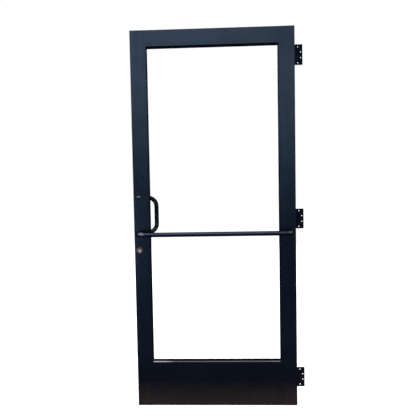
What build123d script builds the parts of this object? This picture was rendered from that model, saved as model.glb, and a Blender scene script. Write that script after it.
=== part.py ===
"""Glazed aluminium entrance door, medium stile, hung on three butt hinges.

+X runs from the lock stile to the hinge stile, +Y from the push side to the pull side, +Z up.
The origin is the centre of the door's bottom edge, midway through its thickness.
All sizes are in millimetres.
"""

from build123d import *
import os

os.makedirs("parts", exist_ok=True)

# Door leaf
door_width = 914.4
door_height = 2133.6
door_thickness = 44.45
frame_wall = 3.2
edge_radius = 0.8
stile_face = 76.2
top_rail_face = 76.2
bottom_rail_face = 241.3
bottom_rail_web_height = 152.4
bottom_rail_web = 2.5

# Corner blocks and tie rods
block_length = 60.0
block_wall = 5.0
block_clearance = 0.3
bottom_block_height = 120.0
bottom_tie_height = 76.2
tie_rod_radius = 4.76
tie_rod_clearance = 0.4
tie_rod_end = 16.0
tie_washer_radius = 11.0
tie_washer_thickness = 2.0
tie_nut_across_flats = 14.3
tie_nut_height = 8.0

# Glazing
glass_thickness = 6.0
glass_side_clearance = 4.8
stop_height = 12.7
stop_wall = 1.5
stop_setback = 0.4
gasket_thickness = 4.0
gasket_height = 6.0
gasket_tip = 1.6
setting_block_height = 6.35
setting_block_length = 100.0
setting_block_width = 13.0
setting_block_spacing = 381.0

# Push bar and pull handle
grip_radius = 12.7
bar_wall = 3.2
bar_standoff = 70.0
bar_bend_radius = 40.0
bar_backset = 28.6
bar_height = 997.5
bar_insert_length = 30.0
pull_centres = 203.2
pull_offset = 84.4
pull_standoff = 55.6
pull_foot = 20.0
pull_foot_bend_radius = 25.0
pull_grip_bend_radius = 50.0
bolt_radius = 4.76
bolt_clearance = 0.3
bolt_thread_depth = 20.0
bolt_seat = 1.0
cap_radius = 11.5
cap_height = 5.0
cap_rim = 1.2
bolt_head_radius = 7.5
bolt_head_height = 3.4
bolt_head_round = 2.4
bolt_socket_radius = 2.8
bolt_socket_depth = 2.2

# Hinges
hinge_height = 114.3
hinge_leaf_thickness = 3.4
hinge_leaf_reach = 53.7
hinge_closed_gap = 1.6
hinge_barrel_radius = 7.15
hinge_pin_radius = 3.75
hinge_pin_fit = 0.06
hinge_pin_projection = 12.7
hinge_knuckles = 5
hinge_knuckle_gap = 0.3
hinge_neck_clearance = 0.5
hinge_tip_height = 3.5
hinge_tip_plug = 6.0
hinge_corner_radius = 1.0
hinge_near_hole = 27.8
hinge_far_hole = 43.7
hinge_near_hole_height = 44.45
hinge_far_hole_height = 15.9
hinge_hole_radius = 2.9
hinge_countersink_radius = 5.6
hinge_mortise_clearance = 0.3
hinge_bottom_height = 138.0
hinge_middle_height = 1066.8
hinge_top_inset = 138.0
backing_thickness = 4.8
backing_overlap = 30.0
backing_edge_clearance = 1.0
screw_radius = 2.7
screw_clearance = 0.1
screw_head_clearance = 0.3
screw_length = 14.0
screw_recess_radius = 1.9
screw_recess_depth = 2.0

# Lock
cylinder_height = 903.7
cylinder_backset = 28.6
cylinder_radius = 14.6
cylinder_clearance = 0.2
cylinder_inner_end = 2.8
cylinder_head_radius = 15.6
cylinder_head_height = 3.0
collar_radius = 17.3
collar_height = 4.6
collar_clearance = 0.2
collar_flat = 0.8
plug_radius = 6.5
plug_fit = 0.06
plug_drop = 3.5
plug_flange_radius = 7.6
plug_flange_depth = 1.5
plug_projection = 0.6
keyway_width = 2.0
keyway_height = 8.6
keyway_depth = 12.0
cam_thickness = 2.0
cam_centre_gap = 0.6
cam_hub_radius = 8.0
cam_reach = 13.0
cam_nose_radius = 3.0
bolt_pivot_rise = 33.0
bolt_pivot_depth = 14.0
bolt_pivot_radius = 4.0
bolt_pivot_fit = 0.06
deadbolt_thickness = 15.9
deadbolt_front = 11.5
deadbolt_back = 14.0
deadbolt_tail = 12.0
deadbolt_length = 49.0
deadbolt_corner = 3.0
case_thickness = 25.4
case_wall = 1.5
case_depth = 46.0
case_below_cylinder = 55.0
case_above_cylinder = 86.5
faceplate_height = 174.6
faceplate_width = 25.4
faceplate_thickness = 3.2
faceplate_screw_inset = 8.0
faceplate_countersink_radius = 4.6
faceplate_screw_length = 11.0
faceplate_gap = 0.2
slot_clearance = 0.4
slot_end_clearance = 3.0
bracket_height = 26.0
bracket_thickness = 3.0
bracket_width = 30.0

# Derived places
half_width = door_width / 2
half_thickness = door_thickness / 2
inner_span = door_width - 2 * stile_face
opening_bottom = bottom_rail_face
opening_top = door_height - top_rail_face
opening_height = opening_top - opening_bottom
cavity_depth = door_thickness - 2 * frame_wall
lock_stile_x = -half_width + stile_face / 2
hinge_stile_x = half_width - stile_face / 2
top_tie_height = door_height - top_rail_face / 2
bar_x = half_width - bar_backset
pull_height = bar_height + pull_centres
hinge_edge_x = half_width - frame_wall + hinge_leaf_thickness
pin_x = hinge_edge_x + hinge_closed_gap / 2
pin_y = half_thickness + hinge_pin_projection
cylinder_x = -half_width + cylinder_backset
pivot_x = -half_width + bolt_pivot_depth
pivot_z = cylinder_height + bolt_pivot_rise
case_bottom = cylinder_height - case_below_cylinder
case_top = cylinder_height + case_above_cylinder
case_height = case_top - case_bottom
case_front_x = -half_width + faceplate_thickness
faceplate_z = (case_bottom + case_top) / 2
hinge_top_height = door_height - hinge_top_inset
hinge_places = {"bottom": hinge_bottom_height, "middle": hinge_middle_height, "top": hinge_top_height}
hinge_holes = [
    (hinge_near_hole, -hinge_near_hole_height),
    (hinge_far_hole, -hinge_far_hole_height),
    (hinge_far_hole, hinge_far_hole_height),
    (hinge_near_hole, hinge_near_hole_height),
]
sides = {"front": -1, "back": 1}


def facing_y(side, x, y, z):
    """Plane whose normal points along Y, to the push side (-1) or the pull side (1)."""
    return Plane(origin=(x, y, z), x_dir=(-side, 0, 0), z_dir=(0, side, 0))


def facing_x(side, x, y, z):
    """Plane whose normal points along X, to the lock edge (-1) or the hinge edge (1)."""
    return Plane(origin=(x, y, z), x_dir=(0, side, 0), z_dir=(side, 0, 0))


def flat_head_outline(top_x, inward, y, head_radius, length):
    """Half outline of a countersunk screw that lies along X, from the face of its head inwards."""
    tip_x = top_x + inward * length
    cone_x = top_x + inward * (head_radius - screw_radius)
    return [
        (top_x, y),
        (top_x, y + head_radius),
        (cone_x, y + screw_radius),
        (tip_x, y + screw_radius),
        (tip_x, y),
    ]


# Lock stile: hollow extrusion with the lock's cut-outs and the through-bolt holes
with BuildPart() as lock_stile:
    with BuildSketch(Plane.XY) as lock_stile_section:
        with Locations((lock_stile_x, 0)):
            RectangleRounded(stile_face, door_thickness, edge_radius)
            Rectangle(stile_face - 2 * frame_wall, cavity_depth, mode=Mode.SUBTRACT)
    extrude(amount=door_height)
    with BuildSketch(facing_x(-1, -half_width, 0, faceplate_z)) as faceplate_cutout:
        SlotOverall(
            faceplate_height + 2 * faceplate_gap, faceplate_width + 2 * faceplate_gap, rotation=90
        )
    extrude(amount=-frame_wall, mode=Mode.SUBTRACT)
    with BuildSketch(facing_y(-1, cylinder_x, -half_thickness, cylinder_height)) as cylinder_cutout:
        Circle(cylinder_radius + cylinder_clearance)
    extrude(amount=-door_thickness, mode=Mode.SUBTRACT)
    with Locations(
        facing_y(-1, -bar_x, -half_thickness, bar_height),
        facing_y(-1, -bar_x, -half_thickness, pull_height),
    ):
        Hole(bolt_radius + bolt_clearance, depth=door_thickness)
    with Locations(
        facing_x(1, -half_width + stile_face, 0, bottom_tie_height),
        facing_x(1, -half_width + stile_face, 0, top_tie_height),
    ):
        Hole(tie_rod_radius + tie_rod_clearance, depth=frame_wall)
lock_stile.part.label = "lock_stile"
export_step(lock_stile.part, "parts/lock_stile.step")

# Hinge stile: the same extrusion, cut away on its edge and back corner for the hinge leaves
mortise_depth = pin_y - hinge_leaf_reach - hinge_mortise_clearance
mortise_height = hinge_height + 2 * hinge_mortise_clearance
with BuildPart() as hinge_stile:
    with BuildSketch(Plane.XY) as hinge_stile_section:
        with Locations((hinge_stile_x, 0)):
            RectangleRounded(stile_face, door_thickness, edge_radius)
            Rectangle(stile_face - 2 * frame_wall, cavity_depth, mode=Mode.SUBTRACT)
    extrude(amount=door_height)
    for hinge_z in hinge_places.values():
        with BuildSketch(Plane.XY.offset(hinge_z - mortise_height / 2)) as mortise:
            with Locations((half_width - frame_wall, mortise_depth)):
                Rectangle(frame_wall, half_thickness - mortise_depth, align=(Align.MIN, Align.MIN))
        extrude(amount=mortise_height, mode=Mode.SUBTRACT)
    with Locations(facing_y(-1, bar_x, -half_thickness, bar_height)):
        Hole(bolt_radius + bolt_clearance, depth=door_thickness)
    with Locations(
        facing_x(-1, half_width - stile_face, 0, bottom_tie_height),
        facing_x(-1, half_width - stile_face, 0, top_tie_height),
    ):
        Hole(tie_rod_radius + tie_rod_clearance, depth=frame_wall)
hinge_stile.part.label = "hinge_stile"
export_step(hinge_stile.part, "parts/hinge_stile.step")

# Top rail: hollow extrusion between the stiles
with BuildPart() as top_rail:
    with BuildSketch(Plane.YZ.offset(-inner_span / 2)) as top_rail_section:
        with Locations((0, top_tie_height)):
            RectangleRounded(door_thickness, top_rail_face, edge_radius)
            Rectangle(cavity_depth, top_rail_face - 2 * frame_wall, mode=Mode.SUBTRACT)
    extrude(amount=inner_span)
top_rail.part.label = "top_rail"
export_step(top_rail.part, "parts/top_rail.step")

# Bottom rail: deeper hollow extrusion with one inner web
with BuildPart() as bottom_rail:
    with BuildSketch(Plane.YZ.offset(-inner_span / 2)) as bottom_rail_section:
        with Locations((0, bottom_rail_face / 2)):
            RectangleRounded(door_thickness, bottom_rail_face, edge_radius)
            Rectangle(cavity_depth, bottom_rail_face - 2 * frame_wall, mode=Mode.SUBTRACT)
        with Locations((0, bottom_rail_web_height)):
            Rectangle(cavity_depth, bottom_rail_web)
    extrude(amount=inner_span)
bottom_rail.part.label = "bottom_rail"
export_step(bottom_rail.part, "parts/bottom_rail.step")

# Corner blocks: short box sections inside each rail end, bored for the tie rod
corner_levels = {
    "top": (top_tie_height, top_rail_face - 2 * frame_wall - 2 * block_clearance),
    "bottom": (bottom_tie_height, bottom_block_height),
}
corner_sides = {"lock": -1, "hinge": 1}
for level, (block_z, block_height) in corner_levels.items():
    for edge, side in corner_sides.items():
        with BuildPart() as corner_block:
            with BuildSketch(facing_x(-side, side * inner_span / 2, 0, block_z)) as block_section:
                block_depth = cavity_depth - 2 * block_clearance
                Rectangle(block_depth, block_height)
                Rectangle(block_depth - 2 * block_wall, block_height - 2 * block_wall, mode=Mode.SUBTRACT)
            extrude(amount=block_length)
            with BuildSketch(facing_x(-side, side * inner_span / 2, 0, block_z)) as block_end:
                Rectangle(block_depth, block_height)
                Circle(tie_rod_radius + tie_rod_clearance, mode=Mode.SUBTRACT)
            extrude(amount=block_wall)
        corner_block.part.label = f"{level}_{edge}_corner_block"
        export_step(corner_block.part, f"parts/{level}_{edge}_corner_block.step")

# Tie rods: steel rods through each rail, their threaded ends inside the stiles
rod_length = inner_span + 2 * (frame_wall + tie_rod_end)
for level, (rod_z, _) in corner_levels.items():
    with BuildPart() as tie_rod:
        with BuildSketch(facing_x(1, -rod_length / 2, 0, rod_z)) as rod_section:
            Circle(tie_rod_radius)
        extrude(amount=rod_length)
        chamfer(tie_rod.edges().filter_by(GeomType.CIRCLE), tie_rod_clearance)
    tie_rod.part.label = f"{level}_tie_rod"
    export_step(tie_rod.part, f"parts/{level}_tie_rod.step")

# Washers and nuts on the rod ends, seated on the stiles' inner webs
rod_ends = [(side, rod_z) for side in corner_sides.values() for rod_z, _ in corner_levels.values()]
web_x = inner_span / 2 + frame_wall
with BuildPart() as tie_rod_washers:
    for side, rod_z in rod_ends:
        with BuildSketch(facing_x(side, side * web_x, 0, rod_z)) as washer_section:
            Circle(tie_washer_radius)
            Circle(tie_rod_radius + tie_rod_clearance, mode=Mode.SUBTRACT)
        extrude(amount=tie_washer_thickness)
tie_rod_washers.part.label = "tie_rod_washers"
export_step(tie_rod_washers.part, "parts/tie_rod_washers.step")

with BuildPart() as tie_rod_nuts:
    for side, rod_z in rod_ends:
        with BuildSketch(
            facing_x(side, side * (web_x + tie_washer_thickness), 0, rod_z)
        ) as nut_section:
            RegularPolygon(tie_nut_across_flats / 2, 6, major_radius=False)
            Circle(tie_rod_radius + screw_clearance, mode=Mode.SUBTRACT)
        extrude(amount=tie_nut_height)
tie_rod_nuts.part.label = "tie_rod_nuts"
export_step(tie_rod_nuts.part, "parts/tie_rod_nuts.step")

# Glass: one tempered pane, carried on two setting blocks
glass_width = inner_span - 2 * glass_side_clearance
glass_bottom = opening_bottom + setting_block_height
glass_height = opening_top - glass_side_clearance - glass_bottom
with BuildPart() as glass_pane:
    with BuildSketch(Plane.XY.offset(glass_bottom)) as glass_section:
        Rectangle(glass_width, glass_thickness)
    extrude(amount=glass_height)
    chamfer(glass_pane.edges().filter_by(Axis.Z), edge_radius)
glass_pane.part.label = "glass_pane"
export_step(glass_pane.part, "parts/glass_pane.step")

with BuildPart() as setting_blocks:
    with BuildSketch(Plane.XY.offset(opening_bottom)) as block_plan:
        with Locations((-setting_block_spacing / 2, 0), (setting_block_spacing / 2, 0)):
            Rectangle(setting_block_length, setting_block_width)
    extrude(amount=setting_block_height)
setting_blocks.part.label = "setting_blocks"
export_step(setting_blocks.part, "parts/setting_blocks.step")

# Glazing stops: open channels snapped round the opening on both faces of the door
stop_outer = half_thickness - stop_setback
stop_inner = glass_thickness / 2 + gasket_thickness
stop_depth = stop_outer - stop_inner
stop_centre = (stop_outer + stop_inner) / 2
stop_places = {
    "bottom": (opening_bottom, 1),
    "top": (opening_top, -1),
    "lock_side": (-inner_span / 2, 1),
    "hinge_side": (inner_span / 2, -1),
}
for face, side in sides.items():
    for place, (seat, inward) in stop_places.items():
        level = place in ("bottom", "top")
        run = inner_span if level else opening_height - 2 * stop_height
        start = -inner_span / 2 if level else opening_bottom + stop_height
        plane = Plane.YZ.offset(start) if level else Plane.XY.offset(start)
        with BuildPart() as glazing_stop:
            with BuildSketch(plane) as stop_section:
                middle = seat + inward * stop_height / 2
                hollow = seat + inward * (stop_height - stop_wall) / 2
                with Locations((side * stop_centre, middle) if level else (middle, side * stop_centre)):
                    if level:
                        Rectangle(stop_depth, stop_height)
                    else:
                        Rectangle(stop_height, stop_depth)
                with Locations((side * stop_centre, hollow) if level else (hollow, side * stop_centre)):
                    if level:
                        Rectangle(
                            stop_depth - 2 * stop_wall, stop_height - stop_wall, mode=Mode.SUBTRACT
                        )
                    else:
                        Rectangle(
                            stop_height - stop_wall, stop_depth - 2 * stop_wall, mode=Mode.SUBTRACT
                        )
            extrude(amount=run)
        glazing_stop.part.label = f"{face}_{place}_stop"
        export_step(glazing_stop.part, f"parts/{face}_{place}_stop.step")

# Gaskets: one rubber loop on each face of the glass, wedged against the stops
gasket_outer_width = inner_span - 2 * (stop_height - gasket_height)
gasket_outer_height = opening_height - 2 * (stop_height - gasket_height)
opening_z = (opening_bottom + opening_top) / 2
for face, side in sides.items():
    with BuildPart() as gasket:
        with BuildSketch(facing_y(side, 0, side * glass_thickness / 2, opening_z)) as gasket_loop:
            Rectangle(gasket_outer_width, gasket_outer_height)
            Rectangle(
                gasket_outer_width - 2 * gasket_height - 2 * gasket_tip,
                gasket_outer_height - 2 * gasket_height - 2 * gasket_tip,
                mode=Mode.SUBTRACT,
            )
        extrude(amount=gasket_thickness)
        lip_face = gasket.faces().sort_by(Axis.Y)[-1 if side > 0 else 0]
        chamfer(lip_face.inner_wires().edges(), gasket_tip / 2)
    gasket.part.label = f"{face}_gasket"
    export_step(gasket.part, f"parts/{face}_gasket.step")

# Push bar: round tube bent back to the door at both ends
bar_y = -half_thickness - bar_standoff
with BuildPart() as push_bar:
    with BuildLine() as bar_path:
        FilletPolyline(
            (-bar_x, -half_thickness, bar_height),
            (-bar_x, bar_y, bar_height),
            (bar_x, bar_y, bar_height),
            (bar_x, -half_thickness, bar_height),
            radius=bar_bend_radius,
        )
    with BuildSketch(facing_y(-1, -bar_x, -half_thickness, bar_height)) as bar_section:
        Circle(grip_radius)
        Circle(grip_radius - bar_wall, mode=Mode.SUBTRACT)
    sweep(path=bar_path.line)
push_bar.part.label = "push_bar"
export_step(push_bar.part, "parts/push_bar.step")

# Plugs fixed in the bar's ends, bored for the bolts
with BuildPart() as push_bar_inserts:
    with BuildSketch(facing_y(-1, 0, -half_thickness, bar_height)) as insert_section:
        with Locations((-bar_x, 0), (bar_x, 0)):
            Circle(grip_radius - bar_wall - screw_clearance)
            Circle(bolt_radius + screw_clearance, mode=Mode.SUBTRACT)
    extrude(amount=bar_insert_length)
push_bar_inserts.part.label = "push_bar_inserts"
export_step(push_bar_inserts.part, "parts/push_bar_inserts.step")

# Pull handle: solid round bar in a slanted D, standing clear of the glass stop
grip_x = -bar_x + pull_offset
grip_y = half_thickness + pull_standoff
foot_y = half_thickness + pull_foot
with BuildPart() as pull_handle:
    with BuildLine() as pull_path:
        FilletPolyline(
            (-bar_x, half_thickness, pull_height),
            (-bar_x, foot_y, pull_height),
            (grip_x, grip_y, pull_height),
            (grip_x, grip_y, bar_height),
            (-bar_x, foot_y, bar_height),
            (-bar_x, half_thickness, bar_height),
            radius=(
                pull_foot_bend_radius,
                pull_grip_bend_radius,
                pull_grip_bend_radius,
                pull_foot_bend_radius,
            ),
        )
    with BuildSketch(facing_y(1, -bar_x, half_thickness, pull_height)) as pull_section:
        Circle(grip_radius)
    sweep(path=pull_path.line)
    with Locations(
        facing_y(-1, -bar_x, half_thickness, pull_height),
        facing_y(-1, -bar_x, half_thickness, bar_height),
    ):
        Hole(bolt_radius + screw_clearance, depth=bolt_thread_depth)
pull_handle.part.label = "pull_handle"
export_step(pull_handle.part, "parts/pull_handle.step")

# Stud that joins the bar's lock-side end to the pull's lower end, back to back
with BuildPart() as back_to_back_stud:
    with BuildSketch(
        facing_y(1, -bar_x, -half_thickness - bolt_thread_depth + bolt_seat, bar_height)
    ) as stud_section:
        Circle(bolt_radius)
    extrude(amount=door_thickness + 2 * (bolt_thread_depth - bolt_seat))
    chamfer(back_to_back_stud.edges().filter_by(GeomType.CIRCLE), tie_rod_clearance)
back_to_back_stud.part.label = "back_to_back_stud"
export_step(back_to_back_stud.part, "parts/back_to_back_stud.step")

# Cap washers and through-bolts: one for the pull's upper end, one for the bar's hinge-side end
bolted_ends = {"pull": (-1, -bar_x, pull_height), "push_bar": (1, bar_x, bar_height)}
for place, (side, bolt_x, bolt_z) in bolted_ends.items():
    face_y = side * half_thickness
    with BuildPart() as cap_washer:
        with BuildSketch(facing_y(side, bolt_x, face_y, bolt_z)) as cap_plan:
            Circle(cap_radius)
        extrude(amount=cap_height)
        cap_top = cap_washer.faces().sort_by(Axis.Y)[-1 if side > 0 else 0]
        fillet(cap_top.edges(), cap_height - cap_rim)
        with Locations(facing_y(side, bolt_x, face_y + side * cap_height, bolt_z)):
            CounterBoreHole(
                bolt_radius + screw_clearance,
                bolt_head_radius + screw_clearance,
                bolt_head_height - bolt_seat,
                depth=cap_height,
            )
    cap_washer.part.label = f"{place}_cap_washer"
    export_step(cap_washer.part, f"parts/{place}_cap_washer.step")

    with BuildPart() as through_bolt:
        head_seat = face_y + side * (cap_height - bolt_head_height + bolt_seat)
        with BuildSketch(facing_y(side, bolt_x, head_seat, bolt_z)) as head_plan:
            Circle(bolt_head_radius)
        extrude(amount=bolt_head_height)
        head_top = through_bolt.faces().sort_by(Axis.Y)[-1 if side > 0 else 0]
        fillet(head_top.edges(), bolt_head_round)
        with BuildSketch(facing_y(-side, bolt_x, head_seat, bolt_z)) as shank_section:
            Circle(bolt_radius)
        extrude(amount=abs(head_seat) + half_thickness + bolt_thread_depth - bolt_seat)
        with BuildSketch(
            facing_y(-side, bolt_x, head_seat + side * bolt_head_height, bolt_z)
        ) as socket_section:
            RegularPolygon(bolt_socket_radius, 6, major_radius=False)
        extrude(amount=bolt_socket_depth, mode=Mode.SUBTRACT)
    through_bolt.part.label = f"{place}_through_bolt"
    export_step(through_bolt.part, f"parts/{place}_through_bolt.step")

# Butt hinges: a leaf let into the door's edge and a free leaf, on one pin
knuckle_pitch = hinge_height / hinge_knuckles
neck_reach = hinge_barrel_radius + hinge_neck_clearance
for place, hinge_z in hinge_places.items():
    hinge_base = hinge_z - hinge_height / 2
    with BuildPart() as door_leaf:
        with BuildSketch(Plane.XY.offset(hinge_base)) as door_leaf_section:
            with Locations((hinge_edge_x, pin_y - hinge_leaf_reach)):
                Rectangle(
                    hinge_leaf_thickness, hinge_leaf_reach - neck_reach, align=(Align.MAX, Align.MIN)
                )
        extrude(amount=hinge_height)
        fillet(
            door_leaf.edges().filter_by(Axis.X).group_by(Axis.Y)[0],
            hinge_corner_radius,
        )
        for knuckle in range(1, hinge_knuckles, 2):
            knuckle_base = hinge_base + knuckle * knuckle_pitch + hinge_knuckle_gap / 2
            with BuildSketch(Plane.XY.offset(knuckle_base)) as door_knuckle_section:
                with Locations((pin_x, pin_y)):
                    Circle(hinge_barrel_radius)
                with Locations((hinge_edge_x, pin_y)):
                    Rectangle(hinge_leaf_thickness, neck_reach, align=(Align.MAX, Align.MAX))
                with Locations((pin_x, pin_y)):
                    Circle(hinge_pin_radius + hinge_pin_fit, mode=Mode.SUBTRACT)
            extrude(amount=knuckle_pitch - hinge_knuckle_gap)
        with Locations(
            [facing_x(1, hinge_edge_x, pin_y - reach, hinge_z + rise) for reach, rise in hinge_holes]
        ):
            CounterSinkHole(hinge_hole_radius, hinge_countersink_radius, depth=hinge_leaf_thickness)
    door_leaf.part.label = f"{place}_hinge_door_leaf"
    export_step(door_leaf.part, f"parts/{place}_hinge_door_leaf.step")

    with BuildPart() as free_leaf:
        leaf_front_y = pin_y + hinge_closed_gap / 2
        with BuildSketch(Plane.XY.offset(hinge_base)) as free_leaf_section:
            with Locations((pin_x + neck_reach, leaf_front_y)):
                Rectangle(
                    hinge_leaf_reach - neck_reach, hinge_leaf_thickness, align=(Align.MIN, Align.MIN)
                )
        extrude(amount=hinge_height)
        fillet(
            free_leaf.edges().filter_by(Axis.Y).group_by(Axis.X)[-1],
            hinge_corner_radius,
        )
        for knuckle in range(0, hinge_knuckles, 2):
            knuckle_base = hinge_base + knuckle * knuckle_pitch + hinge_knuckle_gap / 2
            with BuildSketch(Plane.XY.offset(knuckle_base)) as free_knuckle_section:
                with Locations((pin_x, pin_y)):
                    Circle(hinge_barrel_radius)
                with Locations((pin_x, leaf_front_y)):
                    Rectangle(neck_reach, hinge_leaf_thickness, align=(Align.MIN, Align.MIN))
                with Locations((pin_x, pin_y)):
                    Circle(hinge_pin_radius + hinge_pin_fit, mode=Mode.SUBTRACT)
            extrude(amount=knuckle_pitch - hinge_knuckle_gap)
        with Locations(
            [facing_y(-1, pin_x + reach, leaf_front_y, hinge_z + rise) for reach, rise in hinge_holes]
        ):
            CounterSinkHole(hinge_hole_radius, hinge_countersink_radius, depth=hinge_leaf_thickness)
    free_leaf.part.label = f"{place}_hinge_free_leaf"
    export_step(free_leaf.part, f"parts/{place}_hinge_free_leaf.step")

    # Pin with a flat button head on the top knuckle
    barrel_top = hinge_base + hinge_height - hinge_knuckle_gap / 2
    barrel_bottom = hinge_base + hinge_knuckle_gap / 2
    with BuildPart() as hinge_pin:
        with BuildSketch(Plane.XY.offset(barrel_bottom + hinge_tip_plug)) as pin_section:
            with Locations((pin_x, pin_y)):
                Circle(hinge_pin_radius)
        extrude(amount=barrel_top - barrel_bottom - hinge_tip_plug)
        with BuildSketch(Plane.XY.offset(barrel_top)) as tip_section:
            with Locations((pin_x, pin_y)):
                Circle(hinge_barrel_radius)
        extrude(amount=hinge_tip_height)
        fillet(hinge_pin.faces().sort_by(Axis.Z)[-1].edges(), hinge_corner_radius)
    hinge_pin.part.label = f"{place}_hinge_pin"
    export_step(hinge_pin.part, f"parts/{place}_hinge_pin.step")

# Tip plugs that close the bottom knuckles
with BuildPart() as hinge_tip_plugs:
    for hinge_z in hinge_places.values():
        barrel_bottom = hinge_z - hinge_height / 2 + hinge_knuckle_gap / 2
        with BuildSketch(Plane.XY.offset(barrel_bottom)) as plug_shank_section:
            with Locations((pin_x, pin_y)):
                Circle(hinge_pin_radius)
        extrude(amount=hinge_tip_plug - hinge_knuckle_gap)
        with BuildSketch(Plane.XY.offset(barrel_bottom - hinge_tip_height)) as plug_tip_section:
            with Locations((pin_x, pin_y)):
                Circle(hinge_barrel_radius)
        extrude(amount=hinge_tip_height)
    fillet(
        hinge_tip_plugs.faces().filter_by(Plane.XY).filter_by(lambda f: f.normal_at().Z < 0).edges(),
        hinge_corner_radius,
    )
hinge_tip_plugs.part.label = "hinge_tip_plugs"
export_step(hinge_tip_plugs.part, "parts/hinge_tip_plugs.step")

# Steel plates inside the hinge stile, behind each let-in leaf
backing_x = half_width - frame_wall
backing_depth = cavity_depth - 2 * backing_edge_clearance
with BuildPart() as hinge_backing_plates:
    for hinge_z in hinge_places.values():
        with BuildSketch(facing_x(-1, backing_x, 0, hinge_z)) as backing_outline:
            Rectangle(backing_depth, hinge_height + 2 * backing_overlap)
        extrude(amount=backing_thickness)
        with Locations(
            [facing_x(1, backing_x, pin_y - reach, hinge_z + rise) for reach, rise in hinge_holes]
        ):
            Hole(screw_radius + screw_clearance, depth=backing_thickness)
hinge_backing_plates.part.label = "hinge_backing_plates"
export_step(hinge_backing_plates.part, "parts/hinge_backing_plates.step")

# Countersunk screws that hold the let-in leaves
hinge_head_radius = hinge_countersink_radius - screw_head_clearance
screw_top = hinge_edge_x - screw_clearance
with BuildPart() as hinge_screws:
    for hinge_z in hinge_places.values():
        for reach, rise in hinge_holes:
            with BuildSketch(Plane.XY.offset(hinge_z + rise)) as screw_profile:
                with BuildLine() as screw_outline:
                    Polyline(
                        flat_head_outline(screw_top, -1, pin_y - reach, hinge_head_radius, screw_length),
                        close=True,
                    )
                make_face()
            revolve(axis=Axis((0, pin_y - reach, hinge_z + rise), (1, 0, 0)))
            with BuildSketch(
                facing_x(-1, screw_top, pin_y - reach, hinge_z + rise)
            ) as recess:
                Rectangle(2 * screw_recess_radius, screw_recess_radius / 2)
                Rectangle(screw_recess_radius / 2, 2 * screw_recess_radius)
            extrude(amount=screw_recess_depth, mode=Mode.SUBTRACT)
hinge_screws.part.label = "hinge_screws"
export_step(hinge_screws.part, "parts/hinge_screws.step")

# Lock case: pressed steel tray, open to the pull side where the cover closes it
case_x = case_front_x + case_depth / 2
case_half = case_thickness / 2
case_z = (case_bottom + case_top) / 2
with BuildPart() as lock_case:
    with BuildSketch(facing_y(1, case_x, -case_half, case_z)) as case_outline:
        Rectangle(case_depth, case_height)
    extrude(amount=case_thickness - case_wall)
    with BuildSketch(facing_y(1, case_x, -case_half + case_wall, case_z)) as case_hollow:
        Rectangle(case_depth - 2 * case_wall, case_height - 2 * case_wall)
    extrude(amount=case_thickness, mode=Mode.SUBTRACT)
    with Locations(facing_y(-1, cylinder_x, -case_half, cylinder_height)):
        Hole(cylinder_radius + cylinder_clearance, depth=case_wall)
    with Locations(facing_y(-1, pivot_x, -case_half, pivot_z)):
        Hole(bolt_pivot_radius + bolt_pivot_fit, depth=case_wall)
    with BuildSketch(facing_x(1, case_front_x, 0, pivot_z)) as case_slot:
        with Locations((0, (deadbolt_length - deadbolt_tail) / 2)):
            Rectangle(
                deadbolt_thickness + 2 * slot_clearance,
                deadbolt_length + deadbolt_tail + 2 * slot_end_clearance,
            )
    extrude(amount=case_wall, mode=Mode.SUBTRACT)
lock_case.part.label = "lock_case"
export_step(lock_case.part, "parts/lock_case.step")

with BuildPart() as lock_cover:
    with BuildSketch(facing_y(1, case_x, case_half - case_wall, case_z)) as cover_outline:
        Rectangle(case_depth, case_height)
    extrude(amount=case_wall)
    with Locations(facing_y(1, cylinder_x, case_half, cylinder_height)):
        Hole(cylinder_radius + cylinder_clearance, depth=case_wall)
    with Locations(facing_y(1, pivot_x, case_half, pivot_z)):
        Hole(bolt_pivot_radius + bolt_pivot_fit, depth=case_wall)
lock_cover.part.label = "lock_cover"
export_step(lock_cover.part, "parts/lock_cover.step")

# Faceplate in the door's edge, slotted for the deadbolt
faceplate_screw_z = faceplate_height / 2 - faceplate_screw_inset
with BuildPart() as lock_faceplate:
    with BuildSketch(facing_x(-1, case_front_x, 0, faceplate_z)) as faceplate_outline:
        SlotOverall(faceplate_height, faceplate_width, rotation=90)
        with Locations((0, pivot_z - faceplate_z + (deadbolt_length - deadbolt_tail) / 2)):
            Rectangle(
                deadbolt_thickness + 2 * slot_clearance,
                deadbolt_length + deadbolt_tail + 2 * slot_end_clearance,
                mode=Mode.SUBTRACT,
            )
    extrude(amount=faceplate_thickness)
    with Locations(
        facing_x(-1, -half_width, 0, faceplate_z - faceplate_screw_z),
        facing_x(-1, -half_width, 0, faceplate_z + faceplate_screw_z),
    ):
        CounterSinkHole(
            screw_radius + screw_clearance, faceplate_countersink_radius, depth=faceplate_thickness
        )
lock_faceplate.part.label = "lock_faceplate"
export_step(lock_faceplate.part, "parts/lock_faceplate.step")

# Brackets riveted inside the stile, which take the faceplate's screws
bracket_x = -half_width + frame_wall
with BuildPart() as lock_brackets:
    for end in (-1, 1):
        bracket_start = faceplate_z + end * (case_height / 2 + block_clearance)
        with BuildSketch(facing_x(1, bracket_x, 0, bracket_start)) as bracket_outline:
            Rectangle(
                bracket_width, bracket_height, align=(Align.CENTER, Align.MIN if end > 0 else Align.MAX)
            )
        extrude(amount=bracket_thickness)
        with Locations(facing_x(-1, bracket_x, 0, faceplate_z + end * faceplate_screw_z)):
            Hole(screw_radius + screw_clearance, depth=bracket_thickness)
lock_brackets.part.label = "lock_brackets"
export_step(lock_brackets.part, "parts/lock_brackets.step")

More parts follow.
